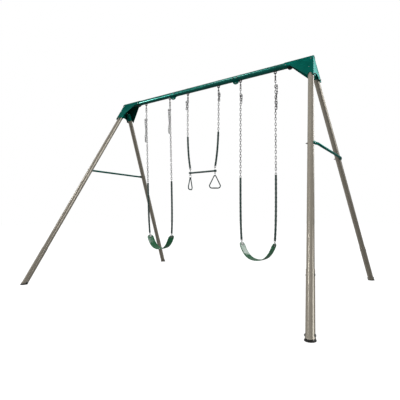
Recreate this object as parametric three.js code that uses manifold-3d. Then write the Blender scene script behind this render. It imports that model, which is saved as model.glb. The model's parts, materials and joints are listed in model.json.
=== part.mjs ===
// A-frame swing set: a steel top beam in three lengths on four splayed tube legs, with two belt swings and a trapeze.
// Units are millimetres. X runs along the beam, Y from front to back, Z up. The origin is on the ground midway
// between the four feet.
import * as THREE from "three";
import { mergeVertices } from "three/addons/utils/BufferGeometryUtils.js";
import Module from "manifold-3d";

const wasm = await Module();
wasm.setup();

// ---------- sizes ----------
const BEAM_R = 41.5;
const BEAM_WALL = 3;
const BEAM_Z = 3008;
const BEAM_END_X = 1779;
const BEAM_JOINT_X = 610;
const LEFT_STOP_X = -1412;
const RIGHT_STOP_X = 1464;
const SWAGE_LENGTH = 95;

const LEG_TOP_X = 1752;
const LEG_TOP_Z = 2995;
const FOOT_X = 2124;
const FOOT_Y = 1450;
const LEG_R = 36.5;
const LEG_WALL = 2.5;
const LOWER_LEG_R = 39.3;
const LEG_HEAD_Z = 2888;
const LEG_JOINT_Z = 505;
const UPPER_LEG_END_Z = 415;
const LEG_FOOT_Z = 5;

const FOOT_PAD_R = 49;
const FOOT_PAD_THICKNESS = 9;
const FOOT_COLLAR_R = 43;
const FOOT_COLLAR_TOP_Z = 22;

const PLATE = 4;
const SADDLE_INNER_X = 1395;
const GUSSET_INNER_X = 1476;
const BRACKET_LOWER_Z = 2720;
const LEG_ARCH_HEIGHT = 40;
const COLLAR_WALL = 4.5;

const BRACE_Z = 1762;
const BRACE_R = 16;
const BOLT_R = 5;

const OUTER_HANGER_X = 1245;
const INNER_HANGER_X = 690;
const TRAPEZE_HANGER_X = 300;
const PIN_Z = BEAM_Z - BEAM_R - 30;
const PIN_R = 6;
const LOOP_HALF_WIDTH = 17;
const PENDULUM_LENGTH = 52;

// At rest the two belt swings hang a little off plumb, in degrees about their hinges; their chains are hooked at
// different links, so one seat is lower than the other.
const LEFT_SWING_LEAN = 3.3;
const RIGHT_SWING_LEAN = -1.4;
const LEFT_SEAT_PIVOT_Z = 672;
const RIGHT_SEAT_PIVOT_Z = 630;

const CHAIN_R = 6;
const GRIP_R = 16;
const GRIP_BORE_R = 7;
const BELT_GRIP_TOP = 884;
const BELT_GRIP_LOW = 18;
const TRAPEZE_GRIP_TOP = 545;
const TRAPEZE_GRIP_LOW = 28;

const SEAT_HALF_SPAN = 248;
const SEAT_SAG = 245;
const SEAT_END_DROP = 15;
const SEAT_THICKNESS = 9;
const SEAT_DEPTH = 142;

const BAR_Z = 1652;
const BAR_R = 14;
const BAR_HALF_LENGTH = 256;
const BAR_EYE_X = 234;
const BAR_PIVOT_Z = 1700;
const BAR_LOWER_EYE_Z = 1622;
const RING_TOP_Z = 1588;
const RING_HEIGHT = 204;
const RING_WIDTH = 178;
const RING_WIRE_R = 8;
const RING_CORNER_R = 36;
const LEFT_RING_TURN = 108;
const RIGHT_RING_TURN = 35;
const LEFT_LINK_TURN = 18;
const RIGHT_LINK_TURN = 110;

// ---------- finishes ----------
const GREEN = { color: 0x14614f, roughness: 0.35, metalness: 0.35 };
const TAUPE = { color: 0x8a8377, roughness: 0.42, metalness: 0.35 };
const ZINC = { color: 0xb4b6b8, roughness: 0.35, metalness: 0.9 };
const BLACK = { color: 0x1b1c1c, roughness: 0.6, metalness: 0 };
const GRIP_GREEN = { color: 0x2f4a42, roughness: 0.6, metalness: 0 };
const BELT_GREEN = { color: 0x17573f, roughness: 0.55, metalness: 0 };

const group = new THREE.Group();
const UP = new THREE.Vector3(0, 0, 1);

function signedVolume(geometry) {
  const p = geometry.getAttribute("position");
  const index = geometry.getIndex();
  const a = new THREE.Vector3();
  const b = new THREE.Vector3();
  const c = new THREE.Vector3();
  let total = 0;
  for (let i = 0; i < index.count; i += 3) {
    a.fromBufferAttribute(p, index.getX(i));
    b.fromBufferAttribute(p, index.getX(i + 1));
    c.fromBufferAttribute(p, index.getX(i + 2));
    total += a.dot(b.cross(c)) / 6;
  }
  return total;
}

// Joins shared corners, drops slivers of no area and turns the faces outward.
function solid(geometry, tolerance = 1e-3) {
  const bare = new THREE.BufferGeometry();
  bare.setAttribute("position", geometry.getAttribute("position"));
  bare.setIndex(geometry.getIndex());
  const merged = mergeVertices(bare, tolerance);
  const old = merged.getIndex();
  const kept = [];
  for (let i = 0; i < old.count; i += 3) {
    const a = old.getX(i);
    const b = old.getX(i + 1);
    const c = old.getX(i + 2);
    if (a !== b && b !== c && c !== a) {
      kept.push(a, b, c);
    }
  }
  merged.setIndex(kept);
  if (signedVolume(merged) < 0) {
    for (let i = 0; i < kept.length; i += 3) {
      const swap = kept[i];
      kept[i] = kept[i + 1];
      kept[i + 1] = swap;
    }
    merged.setIndex(kept);
  }
  return merged;
}

function toManifold(geometry) {
  const s = solid(geometry);
  const vertProperties = new Float32Array(s.getAttribute("position").array);
  const triVerts = new Uint32Array(s.getIndex().array);
  return new wasm.Manifold(new wasm.Mesh({ numProp: 3, vertProperties, triVerts }));
}

function fromManifold(body) {
  const mesh = body.getMesh();
  const geometry = new THREE.BufferGeometry();
  geometry.setAttribute("position", new THREE.BufferAttribute(new Float32Array(mesh.vertProperties), 3));
  geometry.setIndex(new THREE.BufferAttribute(new Uint32Array(mesh.triVerts), 1));
  return geometry;
}

function union(...geometries) {
  let body = toManifold(geometries[0]);
  for (const geometry of geometries.slice(1)) {
    body = body.add(toManifold(geometry));
  }
  return fromManifold(body);
}

function cut(geometry, ...tools) {
  let body = toManifold(geometry);
  for (const tool of tools) {
    body = body.subtract(toManifold(tool));
  }
  return fromManifold(body);
}

function intersect(a, b) {
  return fromManifold(toManifold(a).intersect(toManifold(b)));
}

// A turned body: the outline is a list of [radius, height] pairs and the axis is Z.
function turned(outline, segments) {
  const points = outline.map(([r, h]) => new THREE.Vector2(r, h));
  const geometry = new THREE.LatheGeometry(points, segments);
  geometry.rotateX(Math.PI / 2);
  return geometry;
}

function rod(radius, length, segments = 16) {
  return turned([[0, 0], [radius, 0], [radius, length], [0, length]], segments);
}

function tube(inner, outer, length, segments = 24) {
  return turned([[inner, 0], [outer, 0], [outer, length], [inner, length], [inner, 0]], segments);
}

// Moves a body built from the origin along +Z so that it starts at one point and runs towards another.
function along(geometry, from, to) {
  const direction = new THREE.Vector3().subVectors(to, from).normalize();
  const turn = new THREE.Quaternion().setFromUnitVectors(UP, direction);
  const out = geometry.clone();
  out.applyQuaternion(turn);
  out.translate(from.x, from.y, from.z);
  return out;
}

function moved(geometry, x, y, z) {
  return geometry.clone().translate(x, y, z);
}

function box(x0, x1, y0, y1, z0, z1) {
  const geometry = new THREE.BoxGeometry(x1 - x0, y1 - y0, z1 - z0);
  return geometry.translate((x0 + x1) / 2, (y0 + y1) / 2, (z0 + z1) / 2);
}

// A flat plate: the outline lies in X and Z, and the thickness runs along Y about zero.
function plateXZ(outline, thickness) {
  const shape = new THREE.Shape(outline.map(([x, z]) => new THREE.Vector2(x, z)));
  const geometry = new THREE.ExtrudeGeometry(shape, { depth: thickness, bevelEnabled: false });
  geometry.rotateX(Math.PI / 2);
  return geometry.translate(0, thickness / 2, 0);
}

// Joins a row of equal closed sections into one skin, capped at both ends or closed into a loop.
function loft(sections, closed = false) {
  const n = sections[0].length;
  const positions = [];
  const index = [];
  for (const section of sections) {
    for (const point of section) {
      positions.push(point.x, point.y, point.z);
    }
  }
  const rows = closed ? sections.length : sections.length - 1;
  for (let i = 0; i < rows; i++) {
    const next = (i + 1) % sections.length;
    for (let j = 0; j < n; j++) {
      const k = (j + 1) % n;
      index.push(i * n + j, i * n + k, next * n + k);
      index.push(i * n + j, next * n + k, next * n + j);
    }
  }
  if (!closed) {
    const last = (sections.length - 1) * n;
    for (let j = 1; j < n - 1; j++) {
      index.push(0, j + 1, j);
      index.push(last, last + j, last + j + 1);
    }
  }
  const geometry = new THREE.BufferGeometry();
  geometry.setAttribute("position", new THREE.Float32BufferAttribute(positions, 3));
  geometry.setIndex(index);
  return geometry;
}

// A closed loop of round wire through points that lie in the XZ plane.
function wireLoop(points, radius, sides = 6) {
  const sections = [];
  const centre = new THREE.Vector3();
  for (const p of points) {
    centre.addScaledVector(p, 1 / points.length);
  }
  for (let i = 0; i < points.length; i++) {
    const before = points[(i + points.length - 1) % points.length];
    const after = points[(i + 1) % points.length];
    const tangent = new THREE.Vector3().subVectors(after, before).normalize();
    const side = new THREE.Vector3(0, 1, 0);
    const out = new THREE.Vector3().crossVectors(tangent, side).normalize();
    const section = [];
    for (let j = 0; j < sides; j++) {
      const a = (2 * Math.PI * (j + 0.5)) / sides;
      const point = points[i].clone();
      point.addScaledVector(out, radius * Math.cos(a));
      point.addScaledVector(side, radius * Math.sin(a));
      section.push(point);
    }
    sections.push(section);
  }
  return loft(sections, true);
}

function addPart(name, geometry, finish) {
  const flat = solid(geometry, 0.05).toNonIndexed();
  flat.computeVertexNormals();
  const mesh = new THREE.Mesh(flat, new THREE.MeshStandardMaterial(finish));
  mesh.name = name;
  group.add(mesh);
}

// ---------- the legs' centre lines ----------
function legPoint(sideX, sideY, z) {
  const drop = (LEG_TOP_Z - z) / LEG_TOP_Z;
  const x = sideX * (LEG_TOP_X + (FOOT_X - LEG_TOP_X) * drop);
  return new THREE.Vector3(x, sideY * FOOT_Y * drop, z);
}

function legRod(sideX, sideY, lowZ, highZ, radius, segments = 24) {
  const low = legPoint(sideX, sideY, lowZ);
  const high = legPoint(sideX, sideY, highZ);
  return along(rod(radius, low.distanceTo(high), segments), low, high);
}

function legTube(sideX, sideY, lowZ, highZ, inner, outer, segments = 24) {
  const low = legPoint(sideX, sideY, lowZ);
  const high = legPoint(sideX, sideY, highZ);
  return along(tube(inner, outer, low.distanceTo(high), segments), low, high);
}

function beamRod(fromX, toX, radius, segments = 24) {
  const a = new THREE.Vector3(fromX, 0, BEAM_Z);
  const b = new THREE.Vector3(toX, 0, BEAM_Z);
  return along(rod(radius, Math.abs(toX - fromX), segments), a, b);
}

// ---------- the top beam ----------
// The middle length has reduced ends that plug into the two outer lengths.
function addBeam() {
  const inner = BEAM_R - BEAM_WALL;
  const plug = inner - 0.4;
  const bore = plug - BEAM_WALL;
  const half = BEAM_JOINT_X;
  const tip = half + SWAGE_LENGTH;
  const centre = turned(
    [
      [bore, -tip],
      [plug, -tip],
      [plug, -half],
      [BEAM_R, -half],
      [BEAM_R, half],
      [plug, half],
      [plug, tip],
      [bore, tip],
      [bore, -tip],
    ],
    24,
  );
  centre.rotateY(Math.PI / 2);
  addPart("beam_center", moved(centre, 0, 0, BEAM_Z), GREEN);
  const length = BEAM_END_X - BEAM_JOINT_X - 0.5;
  for (const side of [-1, 1]) {
    const start = new THREE.Vector3(side * (BEAM_JOINT_X + 0.5), 0, BEAM_Z);
    const end = new THREE.Vector3(side * BEAM_END_X, 0, BEAM_Z);
    const name = side < 0 ? "left" : "right";
    addPart("beam_" + name, along(tube(inner, BEAM_R, length, 24), start, end), GREEN);
    const plugEnd = turned(
      [[0, -28], [inner - 0.4, -28], [inner - 0.4, 0.4], [BEAM_R, 0.4], [BEAM_R - 2, 5], [0, 6]],
      24,
    );
    const beyond = new THREE.Vector3(side * (BEAM_END_X + 10), 0, BEAM_Z);
    addPart("beam_cap_" + name, along(plugEnd, end, beyond), BLACK);
  }
}

// A curved strap under the beam with a rounded lug hanging from it.
function beamLug(halfLength, drop, lugHalfWidth, strapTop) {
  const inner = BEAM_R + 0.4;
  const strap = along(
    tube(inner, inner + 4, 2 * halfLength, 24),
    new THREE.Vector3(-halfLength, 0, 0),
    new THREE.Vector3(halfLength, 0, 0),
  );
  const lower = intersect(strap, box(-halfLength - 1, halfLength + 1, -60, 60, -60, strapTop));
  const outline = [];
  for (let i = 0; i <= 10; i++) {
    const a = Math.PI + (Math.PI * i) / 10;
    outline.push([lugHalfWidth * Math.cos(a), -BEAM_R - 3 + drop * Math.sin(a)]);
  }
  return union(lower, plateXZ(outline, 12));
}

function addBeamLugs() {
  for (const side of [-1, 1]) {
    const name = side < 0 ? "left" : "right";
    const stopX = side < 0 ? LEFT_STOP_X : RIGHT_STOP_X;
    addPart("joint_saddle_" + name, moved(beamLug(54, 42, 52, -24), side * BEAM_JOINT_X, 0, BEAM_Z), GREEN);
    addPart("beam_stop_" + name, moved(beamLug(34, 24, 34, -34), stopX, 0, BEAM_Z), BLACK);
  }
}

// ---------- the end brackets ----------
// A folded saddle over the beam's end. Its two sloping cheeks run down outside the legs, and each leg's head
// sits in a round collar under its cheek. A web with an arched lower edge ties the two collars together.
const LEAN = Math.atan2(FOOT_Y, LEG_TOP_Z);

function webX(z) {
  return legPoint(1, 1, z).x + LEG_R + COLLAR_WALL + 1;
}

function cheek(sideY) {
  const lowX = legPoint(1, 1, BRACKET_LOWER_Z).x;
  const outerLow = webX(BRACKET_LOWER_Z) + 3;
  const outerTop = webX(BEAM_Z) + 3;
  const innerLow = lowX - LEG_R - 2;
  const lowV = -(BEAM_Z - BRACKET_LOWER_Z) / Math.cos(LEAN);
  const outline = [
    [SADDLE_INNER_X, -12],
    [outerTop, -12],
    [outerLow, lowV + 8],
    [outerLow - 5, lowV],
  ];
  for (let i = 0; i <= 10; i++) {
    const a = (Math.PI * i) / 10;
    outline.push([lowX - 3 + 31 * Math.cos(a), lowV + 2 + LEG_ARCH_HEIGHT * Math.sin(a)]);
  }
  outline.push(
    [innerLow + 2, lowV],
    [innerLow, lowV + 6],
    [GUSSET_INNER_X, -48],
    [SADDLE_INNER_X, -38],
  );
  const plate = plateXZ(outline, PLATE);
  const offset = LEG_R + COLLAR_WALL - 1;
  plate.translate(0, sideY * offset, 0);
  plate.rotateX(sideY * LEAN);
  const shift = (LEG_TOP_Z - BEAM_Z) * Math.sin(LEAN);
  plate.translate(0, sideY * shift * Math.cos(LEAN), shift * Math.sin(LEAN));
  return moved(plate, 0, 0, BEAM_Z);
}

// The web closes the outer end between the cheeks, follows the legs' outward splay and ends in an arch.
function endWeb() {
  const low = BRACKET_LOWER_Z + 14;
  const high = BEAM_Z + BEAM_R * 0.7;
  const splay = Math.atan2(FOOT_X - LEG_TOP_X, LEG_TOP_Z);
  const sideStep = (z) => legPoint(1, 1, z).y + (LEG_R + COLLAR_WALL - 1) / Math.cos(LEAN);
  const outline = [[-sideStep(low), low]];
  for (let i = 0; i <= 10; i++) {
    const a = Math.PI - (Math.PI * i) / 10;
    outline.push([78 * Math.cos(a), low + 62 * Math.sin(a)]);
  }
  outline.push([sideStep(low), low], [BEAM_R * 0.72, high], [-BEAM_R * 0.72, high]);
  const middle = (low + high) / 2;
  const web = plateXZ(outline.map(([y, z]) => [y, (z - middle) / Math.cos(splay)]), PLATE);
  web.rotateZ(Math.PI / 2);
  web.rotateY(-splay);
  return web.translate(webX(middle), 0, middle);
}

function endBracket() {
  const inner = BEAM_R + 0.5;
  const saddleEnd = webX(BEAM_Z) + 3;
  const ring = along(
    tube(inner, inner + PLATE, saddleEnd - SADDLE_INNER_X, 24),
    new THREE.Vector3(SADDLE_INNER_X, 0, BEAM_Z),
    new THREE.Vector3(saddleEnd, 0, BEAM_Z),
  );
  const saddle = intersect(ring, box(0, 3000, -80, 80, BEAM_Z - 30, BEAM_Z + 80));
  const collars = [-1, 1].map((sideY) =>
    legTube(1, sideY, BRACKET_LOWER_Z + LEG_ARCH_HEIGHT + 8, LEG_HEAD_Z, LEG_R + 0.4, LEG_R + COLLAR_WALL),
  );
  const whole = cut(
    union(saddle, cheek(-1), cheek(1), ...collars),
    beamRod(SADDLE_INNER_X - 20, saddleEnd + 20, inner),
    legRod(1, -1, BRACKET_LOWER_Z - 60, LEG_HEAD_Z + 4, LEG_R + 0.4),
    legRod(1, 1, BRACKET_LOWER_Z - 60, LEG_HEAD_Z + 4, LEG_R + 0.4),
  );
  return union(whole, endWeb());
}

function addBrackets() {
  const right = endBracket();
  addPart("end_bracket_right", right, GREEN);
  addPart("end_bracket_left", right.clone().rotateZ(Math.PI), GREEN);
}

// ---------- the legs, feet and cross braces ----------
function legName(sideX, sideY) {
  return (sideY < 0 ? "front" : "rear") + "_" + (sideX < 0 ? "left" : "right");
}

// A block of space round a leg's foot, from a height upwards.
function above(foot, z) {
  return box(foot.x - 400, foot.x + 400, foot.y - 400, foot.y + 400, z, 700);
}

function footCap(sideX, sideY) {
  const foot = legPoint(sideX, sideY, 0);
  const padOutline = [
    [0, 0],
    [FOOT_PAD_R, 0],
    [FOOT_PAD_R, FOOT_PAD_THICKNESS - 3],
    [FOOT_PAD_R - 5, FOOT_PAD_THICKNESS],
    [0, FOOT_PAD_THICKNESS],
  ];
  const pad = turned(padOutline, 16);
  const collar = legRod(sideX, sideY, -60, FOOT_COLLAR_TOP_Z, FOOT_COLLAR_R);
  const whole = union(intersect(collar, above(foot, 0)), moved(pad, foot.x, foot.y, 0));
  const socket = legRod(sideX, sideY, -60, 200, LOWER_LEG_R + 0.4);
  return cut(whole, intersect(socket, above(foot, LEG_FOOT_Z - 0.4)));
}

function boltAxis(sideX, sideY) {
  const p = legPoint(sideX, sideY, BRACE_Z);
  return new THREE.Vector3(p.x, p.y, p.z);
}

function boltHole(sideX, sideY) {
  const p = boltAxis(sideX, sideY);
  const from = new THREE.Vector3(p.x - sideX * 80, p.y, p.z);
  const to = new THREE.Vector3(p.x + sideX * 80, p.y, p.z);
  return along(rod(BOLT_R + 0.4, 160, 12), from, to);
}

function addLegs() {
  for (const sideX of [-1, 1]) {
    for (const sideY of [-1, 1]) {
      const name = legName(sideX, sideY);
      const upper = legTube(sideX, sideY, UPPER_LEG_END_Z, LEG_HEAD_Z, LEG_R - LEG_WALL, LEG_R);
      addPart("upper_leg_" + name, cut(upper, boltHole(sideX, sideY)), TAUPE);
      // The lower tube is cut level, so that it stands square on the floor of its cap.
      const lower = legTube(sideX, sideY, -60, LEG_JOINT_Z, LEG_R + 0.4, LOWER_LEG_R);
      const stand = above(legPoint(sideX, sideY, 0), LEG_FOOT_Z);
      addPart("lower_leg_" + name, intersect(lower, stand), TAUPE);
      addPart("foot_cap_" + name, footCap(sideX, sideY), BLACK);
    }
  }
}

// The brace is a round tube whose two ends are pressed flat and bolted to the legs' outer sides.
function addBraces() {
  const reach = legPoint(1, 1, BRACE_Z).y;
  const standOff = LEG_R + 5.5;
  for (const sideX of [-1, 1]) {
    const x = sideX * (legPoint(1, 1, BRACE_Z).x + standOff);
    const stations = [
      [-reach - 22, 3, 8],
      [-reach - 18, 3, 20],
      [-reach + 26, 3, 21],
      [-reach + 52, 9, 17],
      [-reach + 78, BRACE_R, BRACE_R],
      [reach - 78, BRACE_R, BRACE_R],
      [reach - 52, 9, 17],
      [reach - 26, 3, 21],
      [reach + 18, 3, 20],
      [reach + 22, 3, 8],
    ];
    const sections = stations.map(([y, halfX, halfZ]) => {
      const section = [];
      for (let j = 0; j < 12; j++) {
        const a = (2 * Math.PI * j) / 12;
        const offset = halfX - 3;
        section.push(
          new THREE.Vector3(x + sideX * (halfX * Math.cos(a) + offset), y, BRACE_Z + halfZ * Math.sin(a)),
        );
      }
      return section;
    });
    const side = sideX < 0 ? "left" : "right";
    const brace = cut(loft(sections), boltHole(sideX, -1), boltHole(sideX, 1));
    addPart("cross_brace_" + side, brace, GREEN);
    for (const sideY of [-1, 1]) {
      const p = boltAxis(sideX, sideY);
      const headX = p.x + sideX * (standOff + 3.4);
      const nutX = p.x - sideX * (LEG_R + 2.4);
      const out = new THREE.Vector3(headX + sideX * 100, p.y, p.z);
      const head = along(rod(9.5, 7, 6), new THREE.Vector3(headX, p.y, p.z), out);
      const inward = new THREE.Vector3(nutX - sideX * 100, p.y, p.z);
      const nut = along(rod(9.5, 8, 6), new THREE.Vector3(nutX, p.y, p.z), inward);
      const tipX = nutX - sideX * 18;
      const shank = along(
        rod(BOLT_R, Math.abs(headX + sideX * 2 - tipX), 12),
        new THREE.Vector3(tipX, p.y, p.z),
        new THREE.Vector3(headX, p.y, p.z),
      );
      addPart("brace_bolt_" + legName(sideX, sideY), union(head, nut, shank), ZINC);
    }
  }
}

// ---------- hangers ----------
// The fixed half is a curved pad under the beam with a square loop of thick wire; the loop's flat lower side is
// the pivot that the swing turns about.
function hangerBody() {
  const inner = BEAM_R + 0.4;
  const pad = intersect(
    along(tube(inner, inner + 4, 42, 24), new THREE.Vector3(-21, 0, 0), new THREE.Vector3(21, 0, 0)),
    box(-40, 40, -17, 17, -60, 0),
  );
  const pinDrop = BEAM_Z - PIN_Z;
  const corner = 8;
  const half = LOOP_HALF_WIDTH;
  const path = [];
  const top = -inner - 2;
  path.push(new THREE.Vector3(-half, 0, top));
  for (let i = 0; i <= 3; i++) {
    const a = Math.PI + (Math.PI / 2) * (i / 3);
    path.push(new THREE.Vector3(-half + corner + corner * Math.cos(a), 0, -pinDrop + corner + corner * Math.sin(a)));
  }
  for (let i = 0; i <= 3; i++) {
    const a = -Math.PI / 2 + (Math.PI / 2) * (i / 3);
    path.push(new THREE.Vector3(half - corner + corner * Math.cos(a), 0, -pinDrop + corner + corner * Math.sin(a)));
  }
  path.push(new THREE.Vector3(half, 0, top));
  const sections = path.map((p, i) => {
    const before = path[Math.max(0, i - 1)];
    const after = path[Math.min(path.length - 1, i + 1)];
    const tangent = new THREE.Vector3().subVectors(after, before).normalize();
    const out = new THREE.Vector3(-tangent.z, 0, tangent.x);
    const section = [];
    for (let j = 0; j < 10; j++) {
      const a = (2 * Math.PI * j) / 10;
      section.push(new THREE.Vector3(
        p.x + out.x * PIN_R * Math.cos(a),
        PIN_R * Math.sin(a),
        p.z + out.z * PIN_R * Math.cos(a),
      ));
    }
    return section;
  });
  return union(pad, loft(sections));
}

// The swinging half has an eye round the pin and, below it, a loop at right angles for the chain.
function pendulumBody() {
  const eye = along(
    tube(PIN_R + 0.7, 14, 9, 12),
    new THREE.Vector3(-4.5, 0, 0),
    new THREE.Vector3(4.5, 0, 0),
  );
  const stem = along(rod(5.5, 22, 8), new THREE.Vector3(0, 0, -33), new THREE.Vector3(0, 0, 0));
  const loop = along(
    tube(6.5, 12.5, 10, 12),
    new THREE.Vector3(0, -5, -PENDULUM_LENGTH + 11),
    new THREE.Vector3(0, 5, -PENDULUM_LENGTH + 11),
  );
  return union(eye, stem, loop);
}

const HANGERS = [
  ["left_outer", -OUTER_HANGER_X, LEFT_SWING_LEAN],
  ["left_inner", -INNER_HANGER_X, LEFT_SWING_LEAN],
  ["trapeze_left", -TRAPEZE_HANGER_X, 0],
  ["trapeze_right", TRAPEZE_HANGER_X, 0],
  ["right_inner", INNER_HANGER_X, RIGHT_SWING_LEAN],
  ["right_outer", OUTER_HANGER_X, RIGHT_SWING_LEAN],
];

// Turns a body about the line of the hinges.
function leaned(geometry, degrees) {
  const out = geometry.clone().translate(0, 0, -PIN_Z);
  out.rotateX(THREE.MathUtils.degToRad(degrees));
  return out.translate(0, 0, PIN_Z);
}

function addHangers() {
  const fixed = hangerBody();
  const swinging = pendulumBody();
  for (const [name, x, lean] of HANGERS) {
    addPart("hanger_" + name, moved(fixed, x, 0, BEAM_Z), ZINC);
    addPart("pendulum_" + name, leaned(moved(swinging, x, 0, PIN_Z), lean), ZINC);
  }
}

// ---------- chains and grips ----------
// A round rod along a path of points, with every section square to the path.
function pathRod(points, radius, sides) {
  const sections = points.map((p, i) => {
    const before = points[Math.max(0, i - 1)];
    const after = points[Math.min(points.length - 1, i + 1)];
    const tangent = new THREE.Vector3().subVectors(after, before).normalize();
    const out = new THREE.Vector3(tangent.z, 0, -tangent.x);
    const section = [];
    for (let j = 0; j < sides; j++) {
      const a = (2 * Math.PI * j) / sides;
      section.push(new THREE.Vector3(
        p.x + out.x * radius * Math.cos(a),
        radius * Math.sin(a),
        p.z + out.z * radius * Math.cos(a),
      ));
    }
    return section;
  });
  return loft(sections);
}

// The chain drops from its hanger and the stiff coated part curves in to the seat or bar. bend tells how late.
function addChain(name, topX, lowX, lowZ, grip, bend, lean) {
  const topZ = PIN_Z - PENDULUM_LENGTH - 2.2;
  const at = (z) => {
    const s = (topZ - z) / (topZ - lowZ);
    return new THREE.Vector3(topX + (lowX - topX) * (bend.early * s + (1 - bend.early) * s ** bend.power), 0, z);
  };
  const gripPath = [];
  const steps = 9;
  for (let i = 0; i <= steps; i++) {
    gripPath.push(at(grip.low + ((grip.top - grip.low) * i) / steps));
  }
  const chain = pathRod([at(lowZ), ...gripPath, at(topZ)], CHAIN_R, 8);
  addPart("chain_" + name, leaned(chain, lean), ZINC);
  const bore = pathRod([at(grip.low - 5), ...gripPath, at(grip.top + 5)], GRIP_BORE_R, 12);
  addPart("grip_" + name, leaned(cut(pathRod(gripPath, GRIP_R, 12), bore), lean), GRIP_GREEN);
}

function addChains() {
  const middle = (OUTER_HANGER_X + INNER_HANGER_X) / 2;
  for (const side of [-1, 1]) {
    const name = side < 0 ? "left" : "right";
    const pivotZ = side < 0 ? LEFT_SEAT_PIVOT_Z : RIGHT_SEAT_PIVOT_Z;
    const lean = side < 0 ? LEFT_SWING_LEAN : RIGHT_SWING_LEAN;
    const grip = { low: pivotZ + BELT_GRIP_LOW, top: pivotZ + BELT_GRIP_TOP };
    const bend = { early: 0.3, power: 10 };
    const outer = side * (middle + SEAT_HALF_SPAN);
    const inner = side * (middle - SEAT_HALF_SPAN);
    addChain(name + "_outer", side * OUTER_HANGER_X, outer, pivotZ + 12, grip, bend, lean);
    addChain(name + "_inner", side * INNER_HANGER_X, inner, pivotZ + 12, grip, bend, lean);
    const barGrip = { low: BAR_PIVOT_Z + TRAPEZE_GRIP_LOW, top: BAR_PIVOT_Z + TRAPEZE_GRIP_TOP };
    const hangerX = side * TRAPEZE_HANGER_X;
    addChain("trapeze_" + name, hangerX, side * BAR_EYE_X, BAR_PIVOT_Z + 16, barGrip, { early: 0, power: 4 }, 0);
  }
}

// ---------- belt seats ----------
// A strap that sags between its two ends, with its ends rounded off. Heights are measured from the seat's pivots.
function seatCurve(t) {
  const rise = SEAT_SAG - SEAT_END_DROP;
  return new THREE.Vector3(SEAT_HALF_SPAN * t, 0, -SEAT_SAG + rise * (0.45 * t ** 2 + 0.55 * t ** 4));
}

function seatHalfDepth(t) {
  const past = Math.max(0, Math.abs(t) - 0.93) / 0.075;
  return (SEAT_DEPTH / 2) * Math.sqrt(1 - past ** 2);
}

function beltSeat() {
  const sections = [];
  const steps = 26;
  const half = SEAT_THICKNESS / 2;
  for (let i = 0; i <= steps; i++) {
    const t = Math.sin((Math.PI / 2) * (-1 + (2 * i) / steps));
    const p = seatCurve(t);
    const ahead = seatCurve(Math.min(1, t + 0.01));
    const behind = seatCurve(Math.max(-1, t - 0.01));
    const tangent = new THREE.Vector3().subVectors(ahead, behind).normalize();
    const normal = new THREE.Vector3(-tangent.z, 0, tangent.x);
    const width = seatHalfDepth(t);
    const corners = [
      [-width + 2, -half],
      [width - 2, -half],
      [width, -half + 2],
      [width, half - 2],
      [width - 2, half],
      [-width + 2, half],
      [-width, half - 2],
      [-width, -half + 2],
    ];
    sections.push(corners.map(([y, n]) => new THREE.Vector3(p.x + normal.x * n, y, p.z + normal.z * n)));
  }
  const strap = loft(sections);
  const links = [-1, 1].map((side) => {
    const x = side * SEAT_HALF_SPAN;
    const eye = along(tube(5, 11, 9, 12), new THREE.Vector3(x - 4.5, 0, -1), new THREE.Vector3(x + 4.5, 0, -1));
    return union(eye, box(x - 4.5, x + 4.5, -9, 9, -26, -9));
  });
  return union(strap, ...links);
}

function addSeats() {
  const seat = beltSeat();
  const middle = (OUTER_HANGER_X + INNER_HANGER_X) / 2;
  const left = moved(seat, -middle, 0, LEFT_SEAT_PIVOT_Z);
  const right = moved(seat, middle, 0, RIGHT_SEAT_PIVOT_Z);
  addPart("belt_seat_left", leaned(left, LEFT_SWING_LEAN), BELT_GREEN);
  addPart("belt_seat_right", leaned(right, RIGHT_SWING_LEAN), BELT_GREEN);
}

// ---------- trapeze bar, links and rings ----------
function addTrapezeBar() {
  const bar = along(
    turned(
      [
        [0, 0],
        [BAR_R + 2, 0],
        [BAR_R + 4, 3],
        [BAR_R + 4, 34],
        [BAR_R, 38],
        [BAR_R, 2 * BAR_HALF_LENGTH - 38],
        [BAR_R + 4, 2 * BAR_HALF_LENGTH - 34],
        [BAR_R + 4, 2 * BAR_HALF_LENGTH - 3],
        [BAR_R + 2, 2 * BAR_HALF_LENGTH],
        [0, 2 * BAR_HALF_LENGTH],
      ],
      16,
    ),
    new THREE.Vector3(-BAR_HALF_LENGTH, 0, BAR_Z),
    new THREE.Vector3(BAR_HALF_LENGTH, 0, BAR_Z),
  );
  const eyes = [];
  for (const side of [-1, 1]) {
    const x = side * BAR_EYE_X;
    const upper = along(
      tube(5.5, 11, 8, 12),
      new THREE.Vector3(x - 4, 0, BAR_PIVOT_Z),
      new THREE.Vector3(x + 4, 0, BAR_PIVOT_Z),
    );
    const lower = tube(6.5, 12, 8, 12).translate(0, 0, -4).rotateX(Math.PI / 2);
    lower.rotateZ(side < 0 ? Math.PI / 2 : 0);
    lower.translate(x, 0, BAR_LOWER_EYE_Z);
    const post = box(x - 4, x + 4, -5, 5, BAR_LOWER_EYE_Z + 8.5, BAR_PIVOT_Z - 8);
    eyes.push(upper, lower, post);
  }
  addPart("trapeze_bar", union(bar, ...eyes), GRIP_GREEN);
}

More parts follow.
